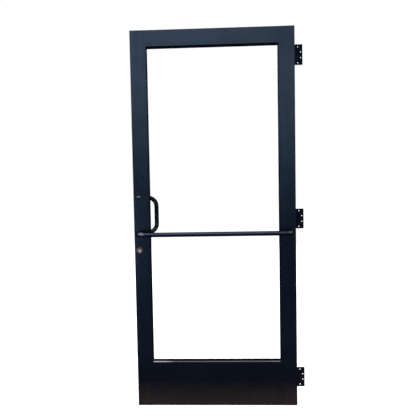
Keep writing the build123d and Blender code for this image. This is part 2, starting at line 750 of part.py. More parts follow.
# Countersunk screws of the faceplate
faceplate_head_radius = faceplate_countersink_radius - screw_head_clearance
faceplate_screw_top = -half_width + screw_clearance
with BuildPart() as faceplate_screws:
    for end in (-1, 1):
        screw_z = faceplate_z + end * faceplate_screw_z
        with BuildSketch(Plane.XY.offset(screw_z)) as faceplate_screw_profile:
            with BuildLine() as faceplate_screw_outline:
                Polyline(
                    flat_head_outline(
                        faceplate_screw_top, 1, 0, faceplate_head_radius, faceplate_screw_length
                    ),
                    close=True,
                )
            make_face()
        revolve(axis=Axis((0, 0, screw_z), (1, 0, 0)))
        with BuildSketch(facing_x(1, faceplate_screw_top, 0, screw_z)) as faceplate_recess:
            Rectangle(2 * screw_recess_radius, screw_recess_radius / 2)
            Rectangle(screw_recess_radius / 2, 2 * screw_recess_radius)
        extrude(amount=screw_recess_depth, mode=Mode.SUBTRACT)
faceplate_screws.part.label = "faceplate_screws"
export_step(faceplate_screws.part, "parts/faceplate_screws.step")

# Deadbolt: stands upright in the case when drawn back and swings out through the faceplate
with BuildPart() as deadbolt:
    with BuildSketch(facing_y(-1, pivot_x, -deadbolt_thickness / 2, pivot_z)) as deadbolt_outline:
        with Locations((-deadbolt_front, -deadbolt_tail)):
            Rectangle(
                deadbolt_front + deadbolt_back,
                deadbolt_tail + deadbolt_length,
                align=(Align.MIN, Align.MIN),
            )
        fillet(deadbolt_outline.vertices(), deadbolt_corner)
        Circle(bolt_pivot_radius + bolt_pivot_fit, mode=Mode.SUBTRACT)
    extrude(amount=-deadbolt_thickness)
deadbolt.part.label = "deadbolt"
export_step(deadbolt.part, "parts/deadbolt.step")

with BuildPart() as deadbolt_pivot:
    with BuildSketch(facing_y(1, pivot_x, -case_half, pivot_z)) as pivot_section:
        Circle(bolt_pivot_radius)
    extrude(amount=case_thickness)
deadbolt_pivot.part.label = "deadbolt_pivot"
export_step(deadbolt_pivot.part, "parts/deadbolt_pivot.step")

# Mortise cylinders: body, collar, key plug and cam on each face
plug_z = cylinder_height - plug_drop
cam_inner = cam_centre_gap / 2
cam_outer = cam_inner + cam_thickness
head_face = half_thickness + cylinder_head_height
cylinder_sides = {"inside": -1, "outside": 1}
for place, side in cylinder_sides.items():
    with BuildPart() as cylinder:
        with BuildSketch(
            facing_y(side, cylinder_x, side * cylinder_inner_end, cylinder_height)
        ) as body_section:
            Circle(cylinder_radius)
        extrude(amount=half_thickness - cylinder_inner_end)
        with BuildSketch(facing_y(side, cylinder_x, side * half_thickness, cylinder_height)) as head_section:
            Circle(cylinder_head_radius)
        extrude(amount=cylinder_head_height)
        head_rim = cylinder.faces().sort_by(Axis.Y)[-1 if side > 0 else 0]
        fillet(head_rim.edges(), edge_radius)
        with Locations(facing_y(side, cylinder_x, side * head_face, plug_z)):
            CounterBoreHole(
                plug_radius + plug_fit,
                plug_flange_radius + plug_fit,
                plug_flange_depth,
                depth=head_face - cylinder_inner_end,
            )
    cylinder.part.label = f"{place}_cylinder"
    export_step(cylinder.part, f"parts/{place}_cylinder.step")

    with BuildPart() as collar:
        with BuildSketch(facing_y(side, cylinder_x, side * half_thickness, cylinder_height)) as collar_ring:
            Circle(collar_radius)
            Circle(cylinder_head_radius + collar_clearance, mode=Mode.SUBTRACT)
        extrude(amount=collar_height)
        collar_top = collar.faces().sort_by(Axis.Y)[-1 if side > 0 else 0]
        fillet(collar_top.outer_wire().edges(), collar_flat)
    collar.part.label = f"{place}_collar"
    export_step(collar.part, f"parts/{place}_collar.step")

    with BuildPart() as key_plug:
        with BuildSketch(facing_y(side, cylinder_x, side * cam_outer, plug_z)) as plug_section:
            Circle(plug_radius)
        extrude(amount=head_face - plug_flange_depth - cam_outer)
        with BuildSketch(
            facing_y(side, cylinder_x, side * (head_face - plug_flange_depth), plug_z)
        ) as plug_flange_section:
            Circle(plug_flange_radius)
        extrude(amount=plug_flange_depth + plug_projection)
        with BuildSketch(
            facing_y(-side, cylinder_x, side * (head_face + plug_projection), plug_z)
        ) as keyway:
            Rectangle(keyway_width, keyway_height)
        extrude(amount=keyway_depth, mode=Mode.SUBTRACT)
    key_plug.part.label = f"{place}_key_plug"
    export_step(key_plug.part, f"parts/{place}_key_plug.step")

    with BuildPart() as cam:
        with BuildSketch(facing_y(side, cylinder_x, side * cam_inner, plug_z)) as cam_outline:
            Circle(cam_hub_radius)
            with Locations((0, -cam_reach)):
                Circle(cam_nose_radius)
            make_hull()
        extrude(amount=cam_thickness)
    cam.part.label = f"{place}_cam"
    export_step(cam.part, f"parts/{place}_cam.step")
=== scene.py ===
"""Finishes and studio for a glazed aluminium entrance door, laid out as an add-on.

All lengths are in metres, in the door's own frame: +X runs from the lock stile to the hinge stile,
+Y from the push side to the pull side and +Z up, from the centre of the door's bottom edge.
"""

import math

import bmesh
import bpy
from bpy.props import FloatProperty, FloatVectorProperty, IntProperty, PointerProperty
from mathutils import Matrix, Quaternion, Vector


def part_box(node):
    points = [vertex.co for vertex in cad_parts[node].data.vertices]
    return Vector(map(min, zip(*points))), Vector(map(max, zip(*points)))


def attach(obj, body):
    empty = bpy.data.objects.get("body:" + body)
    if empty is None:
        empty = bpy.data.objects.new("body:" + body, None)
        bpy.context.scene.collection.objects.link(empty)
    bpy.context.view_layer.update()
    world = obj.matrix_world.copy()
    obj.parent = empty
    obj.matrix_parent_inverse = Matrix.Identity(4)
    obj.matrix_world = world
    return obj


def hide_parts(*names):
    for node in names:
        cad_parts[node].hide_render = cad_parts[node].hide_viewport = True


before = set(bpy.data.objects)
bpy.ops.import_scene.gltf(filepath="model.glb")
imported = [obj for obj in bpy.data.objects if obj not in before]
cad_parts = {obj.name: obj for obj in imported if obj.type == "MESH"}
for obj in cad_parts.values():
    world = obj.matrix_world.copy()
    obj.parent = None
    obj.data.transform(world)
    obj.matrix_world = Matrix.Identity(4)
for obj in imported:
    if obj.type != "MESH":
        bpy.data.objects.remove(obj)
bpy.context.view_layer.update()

bl_info = {
    "name": "Glazed Entrance Door",
    "version": (1, 0, 0),
    "blender": (4, 5, 0),
    "location": "View3D > Sidebar > Glazed Door",
    "description": "Smooth fittings, real finishes and a studio for an aluminium entrance door",
    "category": "Object",
}

DOOR_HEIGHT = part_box("lock_stile")[1].z
STOP_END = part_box("front_bottom_stop")[1].x  # where this stop meets the hinge stile
PATCH_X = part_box("push_bar")[1].x - 0.030  # middle of the painted highlight on a bend of the push bar

ALONG_X, ALONG_Z = 0, 2  # the axis along which a piece was extruded
PUSH_SIDE, PULL_SIDE = -1, 1  # the way in which a face of the door looks, along Y
WHITE = (1, 1, 1)
DARK_EDGE = (0.02, 0.02, 0.03)  # the film stays dark at a low angle, where uncoated metal would shine
SOFT_EDGE = (0.5, 0.5, 0.5)  # the film shines a little at a low angle
NOISE_RANGE = (0.3, 0.7)  # nearly all of a noise lies between these

SHARP_ANGLE = math.radians(35)  # edges that turn by more than this stay sharp
SAME_PLACE = 1e-6  # corners closer together than this are one
ON_RIM = 1e-5  # corners closer than this to a rim lie on it
RIM_GLINT_START = 0.7  # share of a cap washer's radius past which its rim carries a painted highlight
FLOOR_REACH = 30  # how far the floor runs out on each side
FLOOR_GAP = 0.0005  # between the floor and the door's bottom edge
SENSOR_WIDTH = 36  # millimetres, as the lens is

STILES = ["lock_stile", "hinge_stile"]
RAILS = ["top_rail", "bottom_rail"]
SIDE_STOPS = [f"{face}_{edge}_side_stop" for face in ("front", "back") for edge in ("lock", "hinge")]
CROSS_STOPS = ["front_top_stop", "back_top_stop", "back_bottom_stop"]
HINGE_PLACES = ["bottom", "middle", "top"]
HINGE_LEAVES = [f"{place}_hinge_{kind}" for place in HINGE_PLACES for kind in ("door_leaf", "free_leaf")]
HINGE_PINS = [f"{place}_hinge_pin" for place in HINGE_PLACES]
CORNER_BLOCKS = [f"{end}_{side}_corner_block" for end in ("top", "bottom") for side in ("lock", "hinge")]
TIE_RODS = ["top_tie_rod", "bottom_tie_rod", "tie_rod_washers", "tie_rod_nuts"]
LOCK_STEEL = ["lock_case", "lock_cover", "lock_brackets", "deadbolt_pivot", "back_to_back_stud"]
THROUGH_BOLTS = ["pull_through_bolt", "push_bar_through_bolt"]
CAMS = ["inside_cam", "outside_cam"]
KEY_PLUGS = ["inside_key_plug", "outside_key_plug"]


def linear(hex_colour):
    """An sRGB hex colour as linear red, green and blue."""
    channels = [int(hex_colour[start:start + 2], 16) / 255 for start in (0, 2, 4)]
    return [c / 12.92 if c <= 0.04045 else ((c + 0.055) / 1.055) ** 2.4 for c in channels]


def colour(label, description, hex_colour):
    """A colour setting, shown as a swatch."""
    return FloatVectorProperty(
        name=label, description=description, subtype="COLOR", min=0, max=1, default=linear(hex_colour)
    )


def length(label, description, metres):
    """A length setting in metres."""
    return FloatProperty(
        name=label, description=description, default=metres, min=0, precision=4, unit="LENGTH"
    )


class DoorSizes(bpy.types.PropertyGroup):
    """Sizes of the rounded and bent fittings."""

    bar_bend: length("Bar bend", "Radius of the push bar's two bends, to its centre line", 0.040)
    pull_foot: length("Pull foot", "Straight run of each pull foot before its first bend", 0.020)
    pull_foot_bend: length("Pull foot bend", "Radius of the bends beside the pull's feet", 0.025)
    pull_grip_bend: length("Pull grip bend", "Radius of the bends beside the pull's grip", 0.050)
    foot_edge: length("Foot edge", "Rounding round the feet of the push bar and the pull", 0.0008)
    washer_round: length("Washer rounding", "Rounding of the cap washers' outer edge", 0.0038)
    washer_hole: length("Washer hole", "Radius of the bolt hole through a cap washer", 0.00506)
    washer_recess: length("Washer recess", "Radius of the recess that takes the bolt head", 0.0078)
    washer_recess_depth: length("Recess depth", "Depth of the recess that takes the bolt head", 0.0024)
    collar_round: length("Collar rounding", "Rounding of the cylinder collars' outer edge", 0.0008)
    collar_gap: length("Collar gap", "Gap between a collar and the cylinder head inside it", 0.0002)
    rod_sides: IntProperty(
        name="Rod sides", description="Faces round the bar and the pull", default=64, min=12, max=128
    )
    bend_steps: IntProperty(
        name="Bend steps", description="Rings along each bend", default=20, min=4, max=64
    )
    turned_steps: IntProperty(
        name="Turned steps", description="Faces round each turned piece", default=96, min=24, max=192
    )


class DoorColours(bpy.types.PropertyGroup):
    """Colours of the door's finishes."""

    # From top to low, these colours carry painted light: a painted sky reflection at the top and painted
    # shade lower down.
    film_top_sheen: colour("Film, top", "Anodised film near the top rail", "141a22")
    film_middle: colour("Film, middle", "Anodised film above hand height", "0c131b")
    film_shaded: colour("Film, shaded", "Anodised film beside the lower half of the glass", "080d16")
    film_low: colour("Film, low", "Anodised film above the bottom edge", "070a12")
    # A painted reflection of the warm ground near the bottom edge, also on the lowest hinge.
    splash: colour("Splash", "Dried dirt splashed on the lowest part", "201b1b")
    # Painted highlight on the ledge of the front bottom stop, where skylight falls.
    ledge_highlight: colour("Dust", "Pale dust on the front bottom stop", "747579")
    grip: colour("Grips", "Anodised push bar, pull and cap washers", "050b16")
    # Painted highlight on the upper half of the grips.
    grip_top_highlight: colour("Worn grips", "Where hands have polished the grips", "252a36")
    # Bare metal where a finish wore through, and also the painted highlights on the bar's bends and the
    # washers' rims.
    bare_metal_and_highlight: colour("Bare aluminium", "Where a film or finish has worn through", "8d949c")
    glass: colour("Glass", "Clear float glass", "ffffff")
    rubber: colour("Rubber", "Gaskets and setting blocks", "0c0d10")
    mill_aluminium: colour("Mill aluminium", "Corner blocks and bar inserts", "b9bcc0")
    zinc: colour("Zinc plating", "Tie rods, lock case and plates", "a9abaa")
    zinc_dull: colour("Dull zinc", "Where the zinc plating has dulled", "85898c")
    hinge_steel: colour("Hinge steel", "Dark bronze coat on the hinges", "03060e")
    hinge_worn: colour("Worn hinge steel", "Rubbed places on the hinges", "2a2622")
    faceplate: colour("Faceplate", "Dark finish of the lock's faceplate", "1b1e25")
    bolt_steel: colour("Bolt steel", "Ground steel of the deadbolt", "a7a9ac")
    black_oxide: colour("Black oxide", "Blackened through bolts", "14151a")
    brass: colour("Aged brass", "Cylinder collars and cams", "59484a")
    # Tarnish on the collars, and painted shade on the recessed cylinder heads.
    brass_tarnish_and_shade: colour("Tarnished brass", "Cylinder heads, and tarnish on the collars", "382b29")
    # Painted shade, darkest, on the recessed cylinder heads.
    brass_recess_shade: colour("Blackened brass", "Darkest tarnish on the cylinder heads", "241b1a")
    nickel: colour("Nickel", "Nickel plating on the key plugs", "5c5f61")


class StudioSettings(bpy.types.PropertyGroup):
    """Camera, floor and soft light round the door."""

    lens: FloatProperty(name="Lens", description="Focal length", default=32.375, unit="CAMERA")
    camera_place: FloatVectorProperty(
        name="Camera", description="Camera position", subtype="XYZ", default=(0.0356, -2.1293, 1.2251)
    )
    camera_turn: FloatVectorProperty(
        name="Camera turn",
        description="Camera rotation",
        subtype="EULER",
        default=[math.radians(angle) for angle in (87.6368, 1.0007, 1.8833)],
    )
    floor: colour("Floor", "Plain pale floor", "f0f0ee")
    world_level: FloatProperty(
        name="World level", description="Strength of the soft light from all round", default=0.45, min=0
    )
    floor_lift: FloatProperty(
        name="Floor lift",
        description="Light added to the floor where it is seen, so that it reads white",
        default=0.62,
        min=0,
    )


def scale_for(millimetres):
    """Noise scale that sets features about this far apart, on coordinates in metres."""
    return 1000 / millimetres


def fill(tree, node, inputs):
    """Fills or links a node's inputs, given by name or as a list in the order in which they show."""
    if isinstance(inputs, dict):
        pairs = [(node.inputs[name], value) for name, value in inputs.items()]
    else:
        pairs = list(zip([socket for socket in node.inputs if socket.enabled], inputs))
    for socket, value in pairs:
        if isinstance(value, bpy.types.NodeSocket):
            tree.links.new(value, socket)
        elif socket.type == "RGBA":
            socket.default_value = (*value[:3], 1)
        else:
            socket.default_value = value


def add(tree, kind, inputs=(), output=None, stops=(), **settings):
    """Adds a shader node with its settings and links, and returns one of its outputs.

    The output is given by name, or else it is the first that shows. The stops are a colour ramp's.
    A Map Range takes its value, the two ends of its range and the two ends of the new range.
    """
    node = tree.nodes.new("ShaderNode" + kind)
    for name, value in settings.items():
        setattr(node, name, value)
    if stops:
        elements = node.color_ramp.elements
        while len(elements) < len(stops):
            elements.new(1)
        for element, (place, shade) in zip(elements, stops):
            element.position = place
            element.color = (*shade, 1)
    fill(tree, node, inputs)
    shown = [socket for socket in node.outputs if socket.enabled]
    return node.outputs[output] if output else shown[0]


def new_material(name):
    """A material, its tree and shader, and the place on the object in metres."""
    material = bpy.data.materials.new(name)
    material.use_nodes = True
    tree = material.node_tree
    shader = tree.nodes["Principled BSDF"]
    place = add(tree, "TexCoord", output="Object")
    return material, tree, shader, place


def upward_share(tree, low, high):
    """0 where the surface faces down to this much, and 1 where it faces up to that much."""
    facing = add(tree, "NewGeometry", output="Normal")
    upward = add(tree, "SeparateXYZ", [facing], "Z")
    return add(tree, "MapRange", [upward, low, high])


def film_with_painted_light(tree, place, colours):
    """The film's colour from the bottom edge to the top, with painted light on it: a painted reflection
    of the warm ground in a band above the bottom edge, painted shade that darkens it toward the bottom,
    and a painted sky reflection that lightens the top.

    The edges of the band are ragged by about 20 mm, in blots about 60 mm apart.
    """
    height = add(tree, "SeparateXYZ", [place], "Z")
    blots = add(tree, "TexNoise", {"Vector": place, "Scale": scale_for(60), "Detail": 3})
    blot_height = 0.05
    ragged = add(tree, "Math", [blots, blot_height, height], operation="MULTIPLY_ADD")
    share = add(tree, "MapRange", [ragged, 0, DOOR_HEIGHT])
    # Painted light, from the bottom up: painted shade, a band of painted warm ground reflection, more
    # painted shade, then lighter up to a painted sky reflection at the top.
    stops = [
        (0.0, colours.film_low),
        (0.004, colours.film_low),
        (0.007, colours.splash),
        (0.01, colours.splash),
        (0.08, colours.film_low),
        (0.11, colours.film_low),
        (0.17, colours.film_shaded),
        (0.44, colours.film_shaded),
        (0.64, colours.film_middle),
        (0.88, colours.film_top_sheen),
    ]
    return add(tree, "ValToRGB", [share], stops=stops)


def highlight_on_ledge(tree, place):
    """How strong the painted highlight is on the ledge of the front bottom stop, standing in for
    skylight on its top face, strongest beside the lock stile.

    Its edges waver by about 15 mm, every 25 mm or so.
    """
    along = add(tree, "SeparateXYZ", [place], "X")
    blots = add(tree, "TexNoise", {"Vector": place, "Scale": scale_for(25), "Detail": 3})
    wander = 0.04
    ragged = add(tree, "Math", [blots, wander, along], operation="MULTIPLY_ADD")
    share = add(tree, "MapRange", [ragged, -STOP_END, STOP_END])
    brightness = [(0.0, 0.6), (0.03, 1.0), (0.13, 0.95), (0.2, 0.3), (0.9, 0.3), (1.0, 0.4)]
    ledge_highlight_share = add(tree, "ValToRGB", [share], stops=[(start, (ledge_highlight,) * 3) for start, ledge_highlight in brightness])
    return add(tree, "Math", [ledge_highlight_share, upward_share(tree, 0.5, 0.9)], operation="MULTIPLY")


def anodised_extrusion(name, colours, run, edge, highlit_ledge=False):
    """Dark anodised aluminium, extruded: satin, with faint die lines along the length of each piece.

    The die lines are a fraction of a millimetre apart on the real metal, and are drawn 5 mm apart so
    that they show. A clear, thin film takes up light unevenly, so the shade drifts a little every 140 mm
    or so, and the shine every 30 mm. On the ledge of the front bottom stop, a matt, pale painted
    highlight stands in for skylight on its top face and hides the metal shine there. The edge tint sets
    how much the film shines at a low angle: the faces do a little, and the stops, deep in the opening,
    do not.
    """
    material, tree, shader, place = new_material(name)
    # The film's colour with the painted sky reflection and the painted shade of the ramp.
    film = film_with_painted_light(tree, place, colours)
    drawn_out = [1.0, 1.0, 1.0]
    drawn_out[run] = 0.01
    lined = add(tree, "Mapping", {"Vector": place, "Scale": drawn_out})
    die_lines = add(tree, "TexNoise", {"Vector": lined, "Scale": scale_for(5), "Detail": 3})
    line_shade = add(tree, "MapRange", [die_lines, *NOISE_RANGE, -0.08, 0.08])
    drift = add(tree, "TexNoise", {"Vector": place, "Scale": scale_for(140), "Detail": 2})
    drift_shade = add(tree, "MapRange", [drift, *NOISE_RANGE, 0.9, 1.1])
    shade = add(tree, "Math", [line_shade, drift_shade], operation="ADD")
    toned = add(tree, "HueSaturation", {"Value": shade, "Color": film})
    metallic = 1
    # Painted highlight: a matt, pale patch on the ledge's top face in place of skylight falling on it.
    if highlit_ledge:
        ledge_highlight_share = highlight_on_ledge(tree, place)
        toned = add(tree, "Mix", [ledge_highlight_share, toned, colours.ledge_highlight], data_type="RGBA")
        metallic = add(tree, "MapRange", [ledge_highlight_share, 0, 1, 1, 0])
    haze = add(tree, "TexNoise", {"Vector": place, "Scale": scale_for(30), "Detail": 3})
    fill(tree, shader, {
        "Base Color": toned,
        "Metallic": metallic,
        "Roughness": add(tree, "MapRange", [haze, *NOISE_RANGE, 0.27, 0.36]),
        "Specular Tint": edge,
        "Normal": add(tree, "Bump", {"Height": die_lines, "Distance": 0.00003, "Strength": 1}),
    })
    return material


def anodised_grip(colours):
    """Dark anodised aluminium bar, bent: satin, with a painted highlight on its upper half.

    The upper half is painted lighter, as if lit from above, and the film stays darker underneath.
    Handling leaves it speckled, in marks about 8 mm apart. A pale painted highlight, 44 mm long, shows
    on the front of each bend, where the bend faces the light, strongest at the lock side.
    """
    material, tree, shader, place = new_material("dark_anodised_bar")
    speckle = add(tree, "TexNoise", {"Vector": place, "Scale": scale_for(8), "Detail": 3})
    # Painted highlight: the upper half of the grips is lighter, as if lit from above.
    top_light_share = upward_share(tree, 0.0, 0.5)
    top_highlit = add(tree, "Mix", [top_light_share, colours.grip, colours.grip_top_highlight], data_type="RGBA")

    where = add(tree, "SeparateXYZ", [place]).node.outputs
    ragged_edge = -0.008
    patch_end, patch_middle = 0.022, 0.004
    bend_back, bend_front = -0.07, -0.09
    at_lock_side, at_hinge_side = 0.34, 0.16
    # Painted highlight on the front of each bend, where it faces the light, stronger at the lock side.
    ragged = add(tree, "Math", [speckle, ragged_edge, where["X"]], operation="MULTIPLY_ADD")
    from_centre = add(tree, "Math", [ragged], operation="ABSOLUTE")
    past_patch = add(tree, "Math", [from_centre, PATCH_X], operation="SUBTRACT")
    off_patch = add(tree, "Math", [past_patch], operation="ABSOLUTE")
    near_patch = add(tree, "MapRange", [off_patch, patch_end, patch_middle])
    forward = add(tree, "MapRange", [where["Y"], bend_back, bend_front])
    on_front = add(tree, "Math", [forward, upward_share(tree, -0.3, 0.2)], operation="MULTIPLY")
    strength = add(tree, "MapRange", [where["X"], -PATCH_X, PATCH_X, at_lock_side, at_hinge_side])
    rub_and_glint = add(tree, "Math", [on_front, strength], operation="MULTIPLY")
    bend_highlight = add(tree, "Math", [rub_and_glint, near_patch], operation="MULTIPLY")

    fill(tree, shader, {
        "Base Color": add(tree, "Mix", [bend_highlight, top_highlit, colours.bare_metal_and_highlight], data_type="RGBA"),
        "Metallic": add(tree, "MapRange", [bend_highlight, 0, at_lock_side, 1, 0.3]),
        "Roughness": add(tree, "MapRange", [speckle, *NOISE_RANGE, 0.24, 0.34]),
        "Specular Tint": DARK_EDGE,
        "Normal": add(tree, "Bump", {"Height": speckle, "Distance": 0.00002, "Strength": 1}),
    })
    return material


def washer_with_rim_glint(colours):
    """Dark anodised aluminium, turned: the upper side of the rim carries a painted highlight of bright
    metal.

    The highlight is broken up by scratches, which are drawn 2 mm apart so that they show.
    """
    material, tree, shader, place = new_material("dark_anodised_washer")
    rim = add(tree, "Attribute", output="Fac", attribute_name="rim")
    scratches = add(tree, "TexNoise", {"Vector": place, "Scale": scale_for(2), "Detail": 3})
    # Painted highlight: the upper side of the rim is brighter, as if lit from above, broken up by the
    # scratches.
    rim_glint = add(tree, "Math", [scratches, 0.5, rim], operation="MULTIPLY_ADD")
    rim_glint_share = add(tree, "MapRange", [rim_glint, 0.45, 0.75])
    top_rim_glint = add(tree, "Math", [rim_glint_share, upward_share(tree, -0.2, 0.3)], operation="MULTIPLY")
    fill(tree, shader, {
        "Base Color": add(tree, "Mix", [top_rim_glint, colours.grip, colours.bare_metal_and_highlight], data_type="RGBA"),
        "Metallic": 1,
        "Roughness": add(tree, "MapRange", [scratches, *NOISE_RANGE, 0.24, 0.4]),
        "Specular Tint": DARK_EDGE,
    })
    return material


def clear_glass(colours):
    """Clear float glass, floated flat on molten tin: colourless and sharp, with the faintest smears.

    The smears are as far apart as the strokes of a cloth, about 220 mm. Float glass has an index
    near 1.52. It is set lower here because this pane shows no reflections: the pull behind it stays
    as dark as the stile beside it.
    """
    material, tree, shader, place = new_material("clear_float_glass")
    wiped = add(tree, "TexNoise", {"Vector": place, "Scale": scale_for(220), "Detail": 3})
    fill(tree, shader, {
        "Base Color": colours.glass,
        "Roughness": add(tree, "MapRange", [wiped, 0.55, 0.8, 0, 0.02]),
        "IOR": 1.1,
        "Transmission Weight": 1,
    })
    return material


def black_rubber(colours):
    """Black synthetic rubber, extruded: matt and very dark, with a grey bloom every 12 mm or so.

    Its grain is drawn 4 mm apart, coarser than it is, so that it shows.
    """
    material, tree, shader, place = new_material("black_rubber")
    cloud = add(tree, "TexNoise", {"Vector": place, "Scale": scale_for(12), "Detail": 3})
    bloom = add(tree, "MapRange", [cloud, 0.5, 0.75])
    grain = add(tree, "TexNoise", {"Vector": place, "Scale": scale_for(4), "Detail": 3})
    fill(tree, shader, {
        "Base Color": add(tree, "Mix", [bloom, colours.rubber, linear("17181b")], data_type="RGBA"),
        "Roughness": 0.85,
        "Specular IOR Level": 0,
        "Normal": add(tree, "Bump", {"Height": grain, "Distance": 0.00005, "Strength": 1}),
    })
    return material


def mill_finish_aluminium(colours):
    """Bare aluminium as it leaves the die: bright and satin, with die lines along X.

    The lines are drawn 1.5 mm apart, coarser than they are, so that they show.
    """
    material, tree, shader, place = new_material("mill_finish_aluminium")
    lined = add(tree, "Mapping", {"Vector": place, "Scale": (0.05, 1, 1)})
    drawn = add(tree, "TexNoise", {"Vector": lined, "Scale": scale_for(1.5), "Detail": 3})
    in_line = add(tree, "MapRange", [drawn, *NOISE_RANGE])
    shade = add(tree, "Mix", [in_line, colours.mill_aluminium, linear("93979c")], data_type="RGBA")
    fill(tree, shader, {
        "Base Color": shade,
        "Metallic": 1,
        "Roughness": 0.38,
        "Normal": add(tree, "Bump", {"Height": drawn, "Distance": 0.00005, "Strength": 1}),
    })
    return material


def zinc_plated_steel(colours):
    """Steel with bright zinc plating: grey, with clouds 9 mm apart where the plating has dulled."""
    material, tree, shader, place = new_material("zinc_plated_steel")
    clouds = add(tree, "TexNoise", {"Vector": place, "Scale": scale_for(9), "Detail": 3})
    dulled = add(tree, "MapRange", [clouds, 0.4, 0.65])
    fill(tree, shader, {
        "Base Color": add(tree, "Mix", [dulled, colours.zinc, colours.zinc_dull], data_type="RGBA"),
        "Metallic": 1,
        "Roughness": add(tree, "MapRange", [clouds, *NOISE_RANGE, 0.28, 0.5]),
    })
    return material


def bronze_coated_steel(colours):
    """Pressed steel with a dark bronze coat: nearly black and satin, worn brown in places.

    The worn places are about 14 mm apart. The grain of the coat is drawn 2 mm apart, coarser than it is,
    so that it shows. The lowest hinge is tinted with the same painted reflection of the warm ground as
    the bottom of the frame.
    """
    material, tree, shader, place = new_material("bronze_coated_steel")
    rubs = add(tree, "TexNoise", {"Vector": place, "Scale": scale_for(14), "Detail": 5})
    rub_and_glint = add(tree, "MapRange", [rubs, 0.6, 0.8])
    coat = add(tree, "Mix", [rub_and_glint, colours.hinge_steel, colours.hinge_worn], data_type="RGBA")
    height = add(tree, "SeparateXYZ", [place], "Z")
    # Painted reflection of the warm ground on the lowest hinge, gone by 0.4 m up.
    warm_tint_gone, warm_tint_full = 0.4, 0.2
    warm_tint = add(tree, "MapRange", [height, warm_tint_gone, warm_tint_full, 0, 0.15])
    grain = add(tree, "TexNoise", {"Vector": place, "Scale": scale_for(2), "Detail": 3})
    fill(tree, shader, {
        "Base Color": add(tree, "Mix", [warm_tint, coat, colours.splash], data_type="RGBA"),
        "Metallic": 1,
        "Roughness": add(tree, "MapRange", [rubs, *NOISE_RANGE, 0.4, 0.55]),
        "Specular Tint": SOFT_EDGE,
        "Normal": add(tree, "Bump", {"Height": grain, "Distance": 0.00004, "Strength": 1}),
    })
    return material


def brushed_faceplate(colours):
    """Brushed metal under a dark finish: fine upright lines, with the odd bright scuff.

    The lines are drawn 0.8 mm apart, coarser than they are, so that they show.
    """
    material, tree, shader, place = new_material("dark_brushed_faceplate")
    lined = add(tree, "Mapping", {"Vector": place, "Scale": (1, 1, 0.02)})
    brushed = add(tree, "TexNoise", {"Vector": lined, "Scale": scale_for(0.8), "Detail": 3})
    knocks = add(tree, "TexNoise", {"Vector": place, "Scale": scale_for(11), "Detail": 5})
    scuffs = add(tree, "MapRange", [knocks, 0.66, 0.74, 0, 0.5])
    shade = add(tree, "Mix", [scuffs, colours.faceplate, colours.bare_metal_and_highlight], data_type="RGBA")
    fill(tree, shader, {
        "Base Color": shade,
        "Metallic": 1,
        "Roughness": 0.34,
        "Normal": add(tree, "Bump", {"Height": brushed, "Distance": 0.00004, "Strength": 1}),
    })
    return material


def ground_steel(colours):
    """Hardened steel, ground: cool grey with fine grinding lines across the bolt.

    The lines are drawn 0.9 mm apart, coarser than they are, so that they show.
    """
    material, tree, shader, place = new_material("ground_hardened_steel")
    lined = add(tree, "Mapping", {"Vector": place, "Scale": (0.03, 1, 1)})
    ground = add(tree, "TexNoise", {"Vector": lined, "Scale": scale_for(0.9), "Detail": 3})
    in_line = add(tree, "MapRange", [ground, *NOISE_RANGE])
    shade = add(tree, "Mix", [in_line, colours.bolt_steel, linear("8b8e92")], data_type="RGBA")
    fill(tree, shader, {
        "Base Color": shade,
        "Metallic": 1,
        "Roughness": 0.3,
        "Normal": add(tree, "Bump", {"Height": ground, "Distance": 0.00003, "Strength": 1}),
    })
    return material


def blackened_steel(colours):
    """Steel with black oxide: deep grey and oily, with small bright nicks a few millimetres apart."""
    material, tree, shader, place = new_material("blackened_steel")
    knocks = add(tree, "TexNoise", {"Vector": place, "Scale": scale_for(3), "Detail": 5})
    nicks = add(tree, "MapRange", [knocks, 0.62, 0.72])
    shade = add(tree, "Mix", [nicks, colours.black_oxide, linear("4a4c50")], data_type="RGBA")
    fill(tree, shader, {"Base Color": shade, "Metallic": 1, "Roughness": 0.36})
    return material


def aged_brass(name, lighter_brass, darker_brass):
    """Brass, turned and left to tarnish: a dull brown pink with darker blooms 6 mm apart. Given darker
    colours, it is the painted shade on the recessed cylinder heads.
    """
    material, tree, shader, place = new_material(name)
    blooms = add(tree, "TexNoise", {"Vector": place, "Scale": scale_for(6), "Detail": 4})
    tarnish = add(tree, "MapRange", [blooms, 0.42, 0.68])
    fill(tree, shader, {
        "Base Color": add(tree, "Mix", [tarnish, lighter_brass, darker_brass], data_type="RGBA"),
        "Metallic": 1,
        "Roughness": add(tree, "MapRange", [blooms, *NOISE_RANGE, 0.3, 0.5]),
    })
    return material


def nickel_plate(colours):
    """Nickel plated brass: dull silver, hazed every 2.5 mm or so by keys that missed the keyway."""
    material, tree, shader, place = new_material("nickel_plate")
    haze = add(tree, "TexNoise", {"Vector": place, "Scale": scale_for(2.5), "Detail": 5})
    hazed = add(tree, "MapRange", [haze, 0.5, 0.7])
    fill(tree, shader, {
        "Base Color": add(tree, "Mix", [hazed, colours.nickel, linear("47494c")], data_type="RGBA"),
        "Metallic": 1,
        "Roughness": add(tree, "MapRange", [haze, *NOISE_RANGE, 0.2, 0.4]),
    })
    return material


def dress(nodes, material):
    """Gives each CAD node this one material."""
    for name in nodes:
        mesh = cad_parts[name].data
        mesh.materials.clear()
        mesh.materials.append(material)


def mesh_from(bm, name, material):
    """The built shape as a mesh with one material."""
    mesh = bpy.data.meshes.new(name)
    bm.to_mesh(mesh)
    bm.free()
    mesh.materials.append(material)
    return mesh


def put_in_scene(name, data):
    """A new object in the scene that holds this mesh, lamp or camera."""
    holder = bpy.data.objects.new(name, data)
    bpy.context.scene.collection.objects.link(holder)
    return holder


